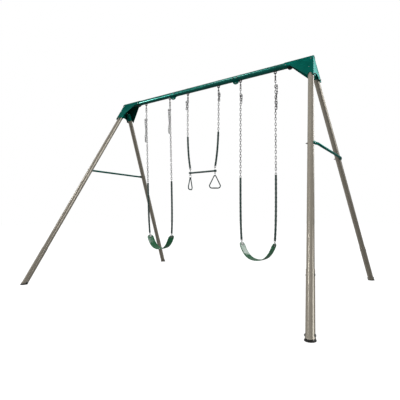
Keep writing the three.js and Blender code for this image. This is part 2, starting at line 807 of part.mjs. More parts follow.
// An oval link that hangs in the bar's lower eye and holds the ring's top.
function ringLink(turn) {
  const points = [];
  const wire = 3;
  const halfWidth = 16 + wire;
  const top = BAR_LOWER_EYE_Z - 6.5 + 2 * wire + 2.6;
  const low = RING_TOP_Z - 2 * RING_WIRE_R - 2 * wire - 0.8;
  const straight = (top - low) / 2 - halfWidth;
  const centreZ = (top + low) / 2;
  for (let i = 0; i < 16; i++) {
    const a = (2 * Math.PI * i) / 16;
    const lift = Math.sin(a) >= -1e-9 ? straight : -straight;
    const z = centreZ + (halfWidth - wire) * Math.sin(a) + lift;
    points.push(new THREE.Vector3((halfWidth - wire) * Math.cos(a), 0, z));
  }
  const link = wireLoop(points, wire);
  return link.rotateZ(THREE.MathUtils.degToRad(turn));
}

// A triangle of round wire with rounded corners, point up.
function trapezeRing(turn) {
  const r = RING_WIRE_R;
  const topR = 17;
  const lowR = RING_CORNER_R;
  const halfBase = RING_WIDTH / 2 - r - lowR;
  const corners = [
    [0, -r - topR, topR],
    [halfBase, -RING_HEIGHT + r + lowR, lowR],
    [-halfBase, -RING_HEIGHT + r + lowR, lowR],
  ];
  const sideAngle = Math.atan2(corners[0][1] - corners[1][1], halfBase);
  const lean = Math.asin((lowR - topR) / Math.hypot(halfBase, corners[0][1] - corners[1][1]));
  const start = Math.PI / 2 - sideAngle - lean;
  const points = [];
  const arc = (corner, from, to, steps) => {
    for (let i = 0; i <= steps; i++) {
      const a = from + ((to - from) * i) / steps;
      points.push(new THREE.Vector3(corner[0] + corner[2] * Math.cos(a), 0, corner[1] + corner[2] * Math.sin(a)));
    }
  };
  arc(corners[0], Math.PI - start, start, 6);
  arc(corners[1], start, -Math.PI / 2, 6);
  arc(corners[2], -Math.PI / 2, -Math.PI - start, 6);
  const ring = wireLoop(points, r);
  ring.translate(0, 0, RING_TOP_Z);
  return ring.rotateZ(THREE.MathUtils.degToRad(turn));
}

function addRings() {
  for (const side of [-1, 1]) {
    const name = side < 0 ? "left" : "right";
    const x = side * BAR_EYE_X;
    const linkTurn = side < 0 ? LEFT_LINK_TURN : RIGHT_LINK_TURN;
    const ringTurn = side < 0 ? LEFT_RING_TURN : RIGHT_RING_TURN;
    addPart("ring_link_" + name, moved(ringLink(linkTurn), x, 0, 0), ZINC);
    addPart("trapeze_ring_" + name, moved(trapezeRing(ringTurn), x, 0, 0), GRIP_GREEN);
  }
}

addBeam();
addBeamLugs();
addBrackets();
addLegs();
addBraces();
addHangers();
addChains();
addSeats();
addTrapezeBar();
addRings();

export default group;
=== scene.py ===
import bpy
import bmesh
import json
import math
import random
from mathutils import Matrix, Vector


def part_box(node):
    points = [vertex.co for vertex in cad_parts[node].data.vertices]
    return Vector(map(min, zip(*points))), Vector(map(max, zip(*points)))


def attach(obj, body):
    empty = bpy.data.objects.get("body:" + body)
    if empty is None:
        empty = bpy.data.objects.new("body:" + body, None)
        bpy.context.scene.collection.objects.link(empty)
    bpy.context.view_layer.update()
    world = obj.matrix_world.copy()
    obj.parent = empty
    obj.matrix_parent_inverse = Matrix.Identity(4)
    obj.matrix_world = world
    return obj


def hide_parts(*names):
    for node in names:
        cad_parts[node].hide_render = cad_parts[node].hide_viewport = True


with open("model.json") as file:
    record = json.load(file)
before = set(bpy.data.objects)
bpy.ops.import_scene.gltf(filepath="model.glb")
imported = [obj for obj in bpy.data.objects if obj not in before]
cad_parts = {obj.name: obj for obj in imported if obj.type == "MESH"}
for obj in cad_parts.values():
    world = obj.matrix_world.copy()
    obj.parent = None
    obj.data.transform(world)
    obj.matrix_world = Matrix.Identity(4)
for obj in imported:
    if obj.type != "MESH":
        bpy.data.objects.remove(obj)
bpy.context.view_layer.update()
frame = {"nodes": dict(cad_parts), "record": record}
random.seed(7)

# ---------------------------------------------------------------- camera
FOCAL = 0.827475  # the focal length over the picture's width
CENTRE = (0.574425, 0.450275)  # where the camera's axis meets the picture, as parts of its width and height
CAMERA_AT = Vector((3.0148, -4.0815, 0.9617))
YAW, PITCH, ROLL = -0.5530, 0.1108, 0.0036
SENSOR = 36

forward = Vector((math.sin(YAW) * math.cos(PITCH), math.cos(YAW) * math.cos(PITCH), math.sin(PITCH)))
level = Vector((math.cos(YAW), -math.sin(YAW), 0))
plumb = forward.cross(level)
right = level * math.cos(ROLL) + plumb * math.sin(ROLL)
down = plumb * math.cos(ROLL) - level * math.sin(ROLL)
camera = bpy.data.objects.new("camera", bpy.data.cameras.new("camera"))
bpy.context.scene.collection.objects.link(camera)
camera.matrix_world = Matrix.Translation(CAMERA_AT) @ Matrix((right, -down, -forward)).transposed().to_4x4()
camera.data.sensor_width = SENSOR
camera.data.lens = SENSOR * FOCAL
camera.data.shift_x = 0.5 - CENTRE[0]
camera.data.shift_y = CENTRE[1] - 0.5
camera.data.clip_start = 0.05
camera.data.clip_end = 100
bpy.context.scene.camera = camera

# ---------------------------------------------------------------- sizes in the CAD frame, in metres
X = Vector((1, 0, 0))
Y = Vector((0, 1, 0))
Z = Vector((0, 0, 1))
SIDES = (-1, 1)

BEAM_R = 0.0415
BEAM_Z = 3.008
BEAM_JOINT_X = 0.610
LEG_TOP_X, LEG_TOP_Z = 1.752, 2.995
FOOT_X, FOOT_Y = 2.124, 1.450
LEG_R = 0.0365
LOWER_LEG_R = 0.0393
LEG_LEAN = math.atan2(FOOT_Y, LEG_TOP_Z)
TRAPEZE_X, INNER_X, OUTER_X = 0.300, 0.690, 1.245  # the hangers, from the middle of the beam
PIN_Z = 2.9365
PENDULUM = 0.052
MIDDLE = 0.9675
SPAN = 0.248
SAG = 0.245
SEAT_RISE = SAG - 0.015  # from the lowest point of a strap up to its ends
SEAT_PIVOT = {"left": 0.672, "right": 0.630}
LEAN = {"left": math.radians(3.3), "right": math.radians(-1.4)}
BAR_Z = 1.652
BAR_HALF = 0.256
BAR_EYE_X = 0.234
BAR_PIVOT_Z = 1.700
BAR_LOWER_EYE_Z = 1.622


def side_name(side):
    return "left" if side < 0 else "right"


def leaned(angle):
    """The turn about the hinge line that a swing hangs at."""
    at = Matrix.Translation((0, 0, PIN_Z))
    return at @ Matrix.Rotation(angle, 4, "X") @ at.inverted()


PLACED = {name + part: leaned(LEAN[name]) for name in LEAN for part in ("_swing", "_seat")}


def leg_point(side_x, side_y, z):
    """The point at a height on a leg's centre line."""
    drop = (LEG_TOP_Z - z) / LEG_TOP_Z
    return Vector((side_x * (LEG_TOP_X + (FOOT_X - LEG_TOP_X) * drop), side_y * FOOT_Y * drop, z))


# ---------------------------------------------------------------- materials
GLOSSIER, DULLER = 0.06, 0.08  # how far the roughness drifts down and up


def node(tree, kind, **inputs):
    """A shader node with some of its inputs set; an underscore in a name stands for a space."""
    made = tree.nodes.new("ShaderNode" + kind)
    for name, value in inputs.items():
        made.inputs[name.replace("_", " ")].default_value = value
    return made


def material(name, colour, roughness, metallic=0.0, specular=0.5, tint=(1, 1, 1), coat=0.0,
             spread=0.12, scale=9.0, bump=0.15, grain_scale=900.0, uneven=1.0):
    """A surface with slow colour drift, uneven gloss and fine relief."""
    m = bpy.data.materials.new(name)
    m.use_nodes = True
    t = m.node_tree
    shader = t.nodes["Principled BSDF"]
    shader.inputs["Metallic"].default_value = metallic
    shader.inputs["Specular IOR Level"].default_value = specular
    shader.inputs["Specular Tint"].default_value = list(tint) + [1]
    shader.inputs["Coat Weight"].default_value = coat
    shader.inputs["Coat Roughness"].default_value = 0.12
    where = node(t, "TexCoord")
    drift = node(t, "TexNoise", Scale=scale, Detail=6)
    t.links.new(where.outputs["Object"], drift.inputs["Vector"])
    ramp = node(t, "ValToRGB")
    for stop, position, factor in zip(ramp.color_ramp.elements, (0.3, 0.72), (1 - spread, 1 + spread)):
        stop.position = position
        stop.color = [min(1, c * factor) for c in colour] + [1]
    t.links.new(drift.outputs["Fac"], ramp.inputs["Fac"])
    t.links.new(ramp.outputs["Color"], shader.inputs["Base Color"])
    gloss = node(t, "MapRange", From_Min=0.3, From_Max=0.7)
    gloss.inputs["To Min"].default_value = max(0.02, roughness - GLOSSIER * uneven)
    gloss.inputs["To Max"].default_value = min(1, roughness + DULLER * uneven)
    t.links.new(drift.outputs["Fac"], gloss.inputs["Value"])
    t.links.new(gloss.outputs["Result"], shader.inputs["Roughness"])
    relief = node(t, "TexNoise", Scale=grain_scale, Detail=2)
    t.links.new(where.outputs["Object"], relief.inputs["Vector"])
    bumps = node(t, "Bump", Strength=bump, Distance=0.0004)
    t.links.new(relief.outputs["Fac"], bumps.inputs["Height"])
    t.links.new(bumps.outputs["Normal"], shader.inputs["Normal"])
    return m


def paint_foot_shade(m, colour, height, blur=0.0006):
    """Darkens what lies below a height above the ground with painted shade: a dark band along the bottom of a
    painted foot.
    """
    t = m.node_tree
    shader = t.nodes["Principled BSDF"]
    where = node(t, "TexCoord")
    axes = node(t, "SeparateXYZ")
    t.links.new(where.outputs["Object"], axes.inputs[0])
    edge = node(t, "MapRange", From_Min=height - blur, From_Max=height + blur)
    t.links.new(axes.outputs["Z"], edge.inputs["Value"])
    mix = node(t, "Mix")
    mix.data_type = "RGBA"
    t.links.new(edge.outputs["Result"], mix.inputs[0])
    mix.inputs[6].default_value = list(colour) + [1]
    t.links.new(shader.inputs["Base Color"].links[0].from_socket, mix.inputs[7])
    t.links.new(mix.outputs[2], shader.inputs["Base Color"])


GREEN_COLOUR = (0.001, 0.112, 0.086)
GREEN = material("green_powder_coat", GREEN_COLOUR, 0.22, metallic=0.5, specular=0.05,
                 tint=(0.20, 0.90, 0.85), coat=0.03, spread=0.12, scale=5, bump=0.02, grain_scale=300)
TUBE = material("green_tube_coat", GREEN_COLOUR, 0.20, metallic=0.5, specular=0.3,
                tint=(0.45, 0.95, 0.9), coat=0.35, spread=0.10, scale=5, bump=0.01, grain_scale=300)
TAUPE_LOOK = dict(colour=(0.305, 0.276, 0.226), roughness=0.22, metallic=0.35, specular=0.5,
                  spread=0.04, scale=5, bump=0.006, grain_scale=300, uneven=0.3)
TAUPE = material("taupe_powder_coat", **TAUPE_LOOK)
ZINC = material("zinc_plate", (0.34, 0.34, 0.335), 0.38, metallic=0.85,
                spread=0.3, scale=160, bump=0.1, grain_scale=1500)
CHAIN = material("chain_zinc", (0.055, 0.055, 0.058), 0.42, metallic=0.6,
                 spread=0.5, scale=90, bump=0.1, grain_scale=1500)
HANGER = material("hanger_steel", (0.07, 0.071, 0.073), 0.38, metallic=0.7,
                  spread=0.4, scale=70, bump=0.1, grain_scale=1500)
BOLT = material("bolt_steel", (0.20, 0.21, 0.205), 0.36, metallic=0.8,
                spread=0.3, scale=120, bump=0.1, grain_scale=1500)
BLACK = material("black_plastic", (0.010, 0.010, 0.010), 0.5, specular=0.2,
                 spread=0.2, scale=40, bump=0.3, grain_scale=1600)
GRIP = material("grip_vinyl", (0.026, 0.054, 0.046), 0.40, specular=0.3,
                spread=0.16, scale=60, bump=0.22, grain_scale=700)
BELT = material("belt_rubber", (0.001, 0.120, 0.040), 0.16, specular=0.5,
                spread=0.14, scale=24, bump=0.05, grain_scale=900)
FOOT_CAP = material("foot_cap_paint", **TAUPE_LOOK)
# painted shade: a near-black band along the bottom of each foot cap, up to this height above the ground
FOOT_SHADE_COLOUR = (0.012, 0.012, 0.011)
FOOT_SHADE_TOP_Z = 0.019
paint_foot_shade(FOOT_CAP, FOOT_SHADE_COLOUR, FOOT_SHADE_TOP_Z)
BAR = material("bar_coat", (0.010, 0.042, 0.037), 0.36, specular=0.3,
               spread=0.15, scale=40, bump=0.2, grain_scale=800)


# ---------------------------------------------------------------- mesh helpers
NEARLY_PARALLEL = 1e-4
POINT_R = 1e-5  # a turned outline's points on the axis keep this radius


def piece(name, bm, mat, body, subdivide=0, smooth=40):
    """Makes a named object of a finished mesh; it rides on a body, and smooth is in degrees."""
    if body in PLACED:
        bmesh.ops.transform(bm, matrix=PLACED[body], verts=bm.verts)
    bmesh.ops.recalc_face_normals(bm, faces=bm.faces)
    mesh = bpy.data.meshes.new(name)
    bm.to_mesh(mesh)
    bm.free()
    mesh.materials.append(mat)
    mesh.shade_smooth()
    mesh.set_sharp_from_angle(angle=math.radians(smooth))
    ob = bpy.data.objects.new(name, mesh)
    bpy.context.scene.collection.objects.link(ob)
    if subdivide:
        sub = ob.modifiers.new("subdivide", "SUBSURF")
        sub.levels = subdivide
        sub.render_levels = subdivide
    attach(ob, body)
    return ob


def basis(direction):
    """Two unit vectors across a direction, and the direction itself at unit length."""
    w = direction.normalized()
    u = Y.cross(w)
    if u.length < NEARLY_PARALLEL:
        u = X.cross(w)
    u.normalize()
    return u, w.cross(u), w


def around(centre, u, v, radius, count, shift=0.0):
    """Points on a circle in the plane of u and v, moved on by a part of one step."""
    angles = [2 * math.pi * (k + shift) / count for k in range(count)]
    return [centre + u * (radius * math.cos(a)) + v * (radius * math.sin(a)) for a in angles]


def skin(bm, rings, closed=False):
    """Faces between rows of equal rings of points; an open skin also gets a face at each end."""
    rows = [[bm.verts.new(p) for p in ring] for ring in rings]
    n = len(rows[0])
    for i in range(len(rows) if closed else len(rows) - 1):
        a, b = rows[i], rows[(i + 1) % len(rows)]
        for j in range(n):
            bm.faces.new((a[j], a[(j + 1) % n], b[(j + 1) % n], b[j]))
    if not closed:
        bm.faces.new(list(reversed(rows[0])))
        bm.faces.new(rows[-1])


def turn(bm, at, direction, outline, sides=24):
    """A turned body along a direction: outline is (radius, distance) pairs."""
    u, v, w = basis(direction)
    skin(bm, [around(at + w * d, u, v, max(r, POINT_R), sides) for r, d in outline])


def wire(bm, points, radius, sides=8):
    """Round wire along a closed path; radius is one number or a list with one for each point."""
    n = len(points)
    centre = sum(points, Vector()) / n
    normal = Vector()
    for i in range(n):
        normal += (points[i] - centre).cross(points[(i + 1) % n] - centre)
    u = normal.normalized()
    rings = []
    for i in range(n):
        tangent = (points[(i + 1) % n] - points[i - 1]).normalized()
        # the frame is carried from point to point, so that the wire never twists
        u = (u - tangent * u.dot(tangent)).normalized()
        r = radius[i] if isinstance(radius, list) else radius
        rings.append(around(points[i], u, tangent.cross(u), r, sides, 0.5))
    skin(bm, rings, closed=True)


def oval(centre, along, across, length, width, steps=12):
    """Centre line of an oval link: total length and width are measured on the centre line."""
    r = width / 2
    straight = max(0, length / 2 - r)
    points = []
    for i in range(steps):
        a = 2 * math.pi * (i + 0.5) / steps
        lift = straight if math.sin(a) > 0 else -straight
        points.append(centre + across * (r * math.cos(a)) + along * (r * math.sin(a) + lift))
    return points


# ---------------------------------------------------------------- bolts
WASHER_SEAT = 0.0016  # how far a head starts above what its washer lies on
# outlines of the heads, as parts of their radius and height
DOME = ((0, 0), (1, 0), (0.97, 0.3), (0.78, 0.72), (0.4, 0.96), (0, 1))
HEXAGON = ((1, 0), (1, 0.82), (0.88, 1), (0.3, 1))
THREAD_R = 0.0048


def bolt(bm, at, direction, radius, height, washer=True, dome=False):
    """A domed or six-sided bolt head, on a washer or bare."""
    u, v, w = basis(direction)
    base = 0.0
    if washer:
        rim = [(1.45 * radius, -0.001), (1.5 * radius, 0.0006), (1.42 * radius, 0.0018)]
        turn(bm, at, w, [(0, -0.001)] + rim + [(0, 0.0018)], 20)
        base = WASHER_SEAT
    if dome:
        turn(bm, at, w, [(radius * r, base + height * d) for r, d in DOME], 20)
        return
    spin = random.uniform(0, 1)
    skin(bm, [around(at + w * (base + height * d), u, v, radius * r, 6, spin) for r, d in HEXAGON])


def thread_end(bm, at, direction, reach):
    """The chamfered end of a bolt's thread beyond its nut or head."""
    chamfer = [(THREAD_R, reach), (THREAD_R - 0.001, reach + 0.0015), (0, reach + 0.0015)]
    turn(bm, at, direction, [(0, 0), (THREAD_R, 0)] + chamfer, 14)


def through_bolt(bm, at, direction, reach, radius, tip):
    """A bolt across a tube: a dome on one side, a nut with the thread's end on the other."""
    w = direction.normalized()
    bolt(bm, at + w * reach, w, radius, 0.0065, dome=True)
    bolt(bm, at - w * reach, -w, radius, 0.0075)
    thread_end(bm, at - w * reach, -w, tip)


# ---------------------------------------------------------------- CAD nodes that stay: their finish
SLOT_LOOK = {
    "green_paint": GREEN,
    "taupe_paint": TAUPE,
    "zinc_plate": ZINC,
    "black_plastic": BLACK,
    "grip_vinyl": GRIP,
    "belt_rubber": BELT,
    "bar_coat": BAR,
}
# nodes whose look isn't their slot's, by the start of the name
NODE_LOOK = {
    "hanger_": HANGER,
    "pendulum_": HANGER,
    "beam_left": TUBE,
    "beam_center": TUBE,
    "beam_right": TUBE,
    "foot_cap_": FOOT_CAP,
}
SAME_POINT = 0.00002
EDGE_ANGLE = math.radians(34)


def dress(name, mat):
    """Gives a CAD node its material, and smooth shading between its real edges."""
    ob = frame["nodes"][name]
    ob.data.materials.clear()
    ob.data.materials.append(mat)
    for p in ob.data.polygons:
        p.use_smooth = True
    weld = ob.modifiers.new("weld", "WELD")
    weld.merge_threshold = SAME_POINT
    split = ob.modifiers.new("edges", "EDGE_SPLIT")
    split.split_angle = EDGE_ANGLE


for entry in frame["record"]["subparts"]:
    look = SLOT_LOOK[entry["material_slot"]]
    for start, own_look in NODE_LOOK.items():
        if entry["node"].startswith(start):
            look = own_look
    dress(entry["node"], look)

# ---------------------------------------------------------------- chains, spare ends and grips
LINK_PITCH = 0.038
LINK_PLAY = 0.0006
FIRST_LINK_TURN = -0.55
SHACKLE_WIDTH, SHACKLE_GAUGE = 0.026, 0.0048
SHACKLE_RISE, SHACKLE_DROP = 0.0105, 0.046  # its ends, above and below the end of the pendulum
CHAIN_START = 0.040  # from the end of the pendulum down to the first link
IN_GRIP_TOP, IN_GRIP_LOW = 0.012, 0.010  # how far the links go on into the grip's two ends
GRIP_SIDES = 20
GRIP_STEP = 0.0075
GRIP_R = 0.0152
GRIP_LINK = 0.030  # the distance along the grip in which the swellings change sides
GRIP_END = ((0.0095, -0.0015), (0.0125, -0.001), (0.0145, 0.0015))  # radius, distance in from the end

# name: x at the hanger, x at the low end, body, height of the low end,
# how far down the spare end is hooked on, and its length
HANGS = {
    "left_outer": (-OUTER_X, -(MIDDLE + SPAN), "left_swing", SEAT_PIVOT["left"], 0.20, 0.40),
    "left_inner": (-INNER_X, -(MIDDLE - SPAN), "left_swing", SEAT_PIVOT["left"], 0.12, 0.40),
    "trapeze_left": (-TRAPEZE_X, -BAR_EYE_X, "trapeze", BAR_PIVOT_Z, 0.06, 0.13),
    "trapeze_right": (TRAPEZE_X, BAR_EYE_X, "trapeze", BAR_PIVOT_Z, 0.05, 0.12),
    "right_inner": (INNER_X, MIDDLE - SPAN, "right_swing", SEAT_PIVOT["right"], 0.16, 0.12),
    "right_outer": (OUTER_X, MIDDLE + SPAN, "right_swing", SEAT_PIVOT["right"], 0.13, 0.34),
}


def shackle(bm, top, low):
    """A closed oval connector between two points, lying in a plane across the beam."""
    points = oval((top + low) / 2, (top - low).normalized(), Y, (top - low).length, SHACKLE_WIDTH, 20)
    wire(bm, points, SHACKLE_GAUGE, sides=10)


def chain(bm, path, start_turn=0.0, width=0.0205, gauge=0.0036, tremble=0.2):
    """Links about at right angles to one another, along a path given as a function of 0 to 1."""
    count = max(1, round((path(1) - path(0)).length / LINK_PITCH))
    for i in range(count):
        a, b = path(i / count), path((i + 1) / count)
        u, v, w = basis(b - a)
        angle = start_turn + FIRST_LINK_TURN + (math.pi / 2) * (i % 2) + random.uniform(-tremble, tremble)
        across = u * math.cos(angle) + v * math.sin(angle)
        wire(bm, oval((a + b) / 2, w, across, (b - a).length + gauge * 2 - LINK_PLAY, width), gauge, sides=6)


def spare_end(name, body, start, side, tail):
    """The spare end of a chain, hooked back on it and hanging beside it."""
    bm = bmesh.new()
    side_step = Vector((0.021 * side, -0.006, 0))
    catch = start + side_step
    wire(bm, oval((start + catch) / 2, side_step.normalized(), Z, 0.050, 0.030, 16), 0.0046)
    end = start + Vector((0.017 * side, -0.010, -tail))

    def spare(f):
        sway = Vector((0.006 * side * math.sin(9 * f), 0.004 * math.sin(5 * f), -0.006 * (1 - f)))
        return catch.lerp(end, f) + sway

    chain(bm, spare, start_turn=0.6, width=0.024, gauge=0.0042, tremble=0.5)
    piece("chain_tail_" + name, bm, CHAIN, body)


def swelling(angle, phase):
    """The grip's radius over the links, which lie broad in turn one way and the other."""
    return GRIP_R + 0.0011 * math.cos(2 * angle + 0.4) * math.cos(phase) + 0.0004 * math.cos(2 * phase)


def grip(name, body, at, top, low):
    """Soft vinyl dipped over the links; at gives the chain's point at a height."""
    length = top - low
    steps = int(length / GRIP_STEP)

    def section(z, radius):
        u, v, w = basis(at(z - 0.01) - at(z + 0.01))
        angles = [2 * math.pi * k / GRIP_SIDES for k in range(GRIP_SIDES)]
        return [at(z) + u * (radius(a) * math.cos(a)) + v * (radius(a) * math.sin(a)) for a in angles]

    rings = [section(top - d, lambda a: r) for r, d in GRIP_END]
    for i in range(1, steps):
        d = length * i / steps
        rings.append(section(top - d, lambda a: swelling(a, math.pi * d / GRIP_LINK)))
    rings += [section(low + d, lambda a: r) for r, d in reversed(GRIP_END)]
    bm = bmesh.new()
    skin(bm, rings)
    ob = piece("grip_skin_" + name, bm, GRIP, body, smooth=60)
    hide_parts("grip_" + name)


def hang(name, top_x, low_x, body, pivot_z, hook, tail):
    """A chain from its shackle down to a seat or the bar, with its spare end and its grip."""
    bar = body == "trapeze"
    side = 1 if top_x > 0 else -1
    top_z = PIN_Z - PENDULUM
    low_z = pivot_z + 0.005
    early, power = (0, 4) if bar else (0.3, 10)
    grip_top = pivot_z + (0.545 if bar else 0.884)
    grip_low = pivot_z + (0.028 if bar else 0.018)

    def at(z):
        """The chain's point at a height: most of its way sideways lies near its low end."""
        s = min(1, max(0, (top_z - z) / (top_z - low_z)))
        return Vector((top_x + (low_x - top_x) * (early * s + (1 - early) * s ** power), 0, z))

    def run(z0, z1):
        return lambda f: at(z0 + (z1 - z0) * f)

    bm = bmesh.new()
    shackle(bm, at(top_z) + Z * SHACKLE_RISE, at(top_z - SHACKLE_DROP))
    chain(bm, run(top_z - CHAIN_START, grip_top - IN_GRIP_TOP))
    chain(bm, run(grip_low + IN_GRIP_LOW, low_z))
    ob = piece("chain_links_" + name, bm, CHAIN, body)
    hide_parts("chain_" + name)
    spare_end(name, body, at(top_z - hook), side, tail)
    grip(name, body, at, grip_top, grip_low)


for name, spec in HANGS.items():
    hang(name, *spec)

# ---------------------------------------------------------------- belt seats
BELT_HALF_WIDTH = 0.071
BELT_HALF_THICK = 0.0044
BELT_STEPS = 56
FACE, UNDER = 0.75, -0.8  # the sunk panels between the strap's raised edges, as parts of its half thickness
RIBBED = 0.75  # how far out the ribs reach, as a part of the half length
# round the strap's section: place across it (-1 to 1) and height (-1 under, 1 on top)
BELT_SECTION = (
    (-1, -0.5), (-0.985, -1), (-0.93, -1),
    (-0.9, UNDER), (-0.6, UNDER), (-0.3, UNDER), (0, UNDER), (0.3, UNDER), (0.6, UNDER), (0.9, UNDER),
    (0.93, -1), (0.985, -1), (1, -0.5), (1, 0.5), (0.985, 1), (0.93, 1),
    (0.9, FACE), (0.6, FACE), (0.3, FACE), (0, FACE), (-0.3, FACE), (-0.6, FACE), (-0.9, FACE),
    (-0.93, 1), (-0.985, 1), (-1, 0.5),
)
PLATE = ((0.0046, 1.0), (0.0062, 1.0), (0.0068, 0.93))  # the clamp plate's height off the strap, its size
PLATE_ALONG, PLATE_ACROSS = 0.019, 0.024
LOOP_POINT_HALF, LOOP_BASE_HALF = 0.005, 0.021
LOOP_GAUGE = 0.0034
RIVET = ((0, 0), (0.0044, 0), (0.0038, 0.0014), (0.0018, 0.0022), (0, 0.0024))


def seat_curve(t):
    """The middle of a strap, from one end (-1) to the other (1), under its pivots."""
    return Vector((SPAN * t, 0, -SAG + SEAT_RISE * (0.45 * t ** 2 + 0.55 * t ** 4)))


def seat_half_width(t):
    """Half the strap's width, which is rounded off at its ends."""
    past = max(0, abs(t) - 0.93) / 0.075
    return BELT_HALF_WIDTH * math.sqrt(1 - past ** 2)


def belt_section(t, middle):
    """The strap's outline at one place along it, with cupped edges and ribs where one sits."""
    tangent = (seat_curve(min(1, t + 0.01)) - seat_curve(max(-1, t - 0.01))).normalized()
    normal = Vector((-tangent.z, 0, tangent.x))
    centre = seat_curve(t) + middle
    width = seat_half_width(t)
    points = []
    for y, n in BELT_SECTION:
        cup = 0.0035 * y * y * (1 - t * t)
        rib = 0.0005 * math.cos(y * 34) * max(0, 1 - (t / RIBBED) ** 4) if n == FACE else 0
        points.append(centre + Vector((0, width * y, 0)) + normal * (BELT_HALF_THICK * n + cup + rib))
    return points


def clamp_plate(bm, centre, tangent, out):
    """One of the two riveted plates on a strap's end, with rounded corners."""
    plate = []
    for lift, grow in PLATE:
        ring = []
        for k in range(24):
            g = 2 * math.pi * k / 24
            square = (abs(math.cos(g)) ** 4 + abs(math.sin(g)) ** 4) ** -0.25 * grow
            reach = tangent * (PLATE_ALONG * math.cos(g) * square) + Y * (PLATE_ACROSS * math.sin(g) * square)
            ring.append(centre + reach + out * lift)
        plate.append(ring)
    skin(bm, plate)
    for dy in (-0.014, 0.014):
        for dt in (-0.010, 0.010):
            turn(bm, centre + Y * dy + tangent * dt + out * 0.0066, out, RIVET, 14)


def belt_end(bm, middle, end):
    """A wire loop that holds the chain at its point, and the clamp that its base runs through."""
    pivot = middle + Vector((end * SPAN, 0, 0))
    tip = seat_curve(end) + middle
    tangent = (seat_curve(end) - seat_curve(end * 0.97)).normalized()
    normal = Vector((-tangent.z, 0, tangent.x)) * end
    base = tip - tangent * 0.004
    corners = [
        pivot + Vector((0, -LOOP_POINT_HALF, 0.001)),
        pivot + Vector((0, LOOP_POINT_HALF, 0.001)),
        base + Vector((0, LOOP_BASE_HALF, 0)),
        base + Vector((0, -LOOP_BASE_HALF, 0)),
    ]
    loop = []
    for k in range(4):
        for s in range(5):
            loop.append(corners[k].lerp(corners[(k + 1) % 4], (s + 0.5) / 5))
    wire(bm, loop, LOOP_GAUGE)
    for face in SIDES:
        clamp_plate(bm, tip - tangent * 0.024, tangent, normal * face)


def belt(side):
    name = side_name(side)
    body = name + "_seat"
    middle = Vector((side * MIDDLE, 0, SEAT_PIVOT[name]))
    # the steps are closer together towards the ends, where the strap is rounded off
    places = [math.sin(math.pi / 2 * (-1 + 2 * i / BELT_STEPS)) for i in range(BELT_STEPS + 1)]
    bm = bmesh.new()
    skin(bm, [belt_section(t, middle) for t in places])
    strap = piece("belt_strap_" + name, bm, BELT, body, subdivide=1, smooth=60)
    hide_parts("belt_seat_" + name)
    bm = bmesh.new()
    for end in SIDES:
        belt_end(bm, middle, end)
    piece("belt_hardware_" + name, bm, ZINC, body)


for side in SIDES:
    belt(side)

# ---------------------------------------------------------------- trapeze bar, links and rings
BAR_BODY_R = 0.0139
# radius and distance in from the bar's end, over its end collar
COLLAR = (
    (0, 0), (0.0135, 0), (0.0165, 0.0016), (0.018, 0.005),
    (0.018, 0.031), (0.0172, 0.034), (0.0142, 0.0365),
)
COLLAR_INNER_END = 0.0385
BAR_STEPS = 40
EYE_GAUGE = 0.0029
EYE_SEAT = 0.0165  # from the bar's centre line out to where an eye's shank starts
UPPER_SHANK = ((0, 0), (0.0075, 0), (0.0075, 0.0045), (0.0038, 0.006), (0.0038, 0.0235), (0, 0.0245))
LOWER_SHANK = ((0, 0), (0.0075, 0), (0.0075, 0.0035), (0.0038, 0.0045), (0.0038, 0.0065), (0, 0.0072))
RING_TOP_Z = 1.588
RING_HEIGHT, RING_WIDTH = 0.204, 0.178
RING_TOP_R, RING_LOW_R = 0.017, 0.036
RING_GAUGE = 0.0078
RING_TURN = {"left": math.radians(108), "right": math.radians(35)}
OVAL_WIDTH, OVAL_GAUGE = 0.037, 0.003
OVAL_TURN = {"left": math.radians(18), "right": math.radians(110)}


def bar_outline():
    """Radius and distance along the coated bar, with a collar at each end and a slightly uneven coat."""
    length = 2 * BAR_HALF
    between = length - 2 * COLLAR_INNER_END
    coat = [(BAR_BODY_R + 0.0002 * math.sin(i * 1.7), COLLAR_INNER_END + between * i / BAR_STEPS)
            for i in range(1, BAR_STEPS)]
    return list(COLLAR) + coat + [(r, length - d) for r, d in reversed(COLLAR)]


def trapeze_bar():
    bm = bmesh.new()
    turn(bm, Vector((-BAR_HALF, 0, BAR_Z)), X, bar_outline(), 28)
    ob = piece("trapeze_bar_coated", bm, BAR, "trapeze_bar")
    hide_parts("trapeze_bar")
    bm = bmesh.new()
    for side in SIDES:
        x = side * BAR_EYE_X
        lower_normal = X if side < 0 else Y
        for z, r, normal in ((BAR_PIVOT_Z, 0.0083, X), (BAR_LOWER_EYE_Z, 0.0092, lower_normal)):
            u, v, w = basis(normal)
            wire(bm, around(Vector((x, 0, z)), u, v, r, 24), EYE_GAUGE, sides=10)
        turn(bm, Vector((x, 0, BAR_Z + EYE_SEAT)), Z, UPPER_SHANK, 16)
        turn(bm, Vector((x, 0, BAR_Z - EYE_SEAT)), -Z, LOWER_SHANK, 16)
    piece("trapeze_bar_eyes", bm, ZINC, "trapeze_bar")


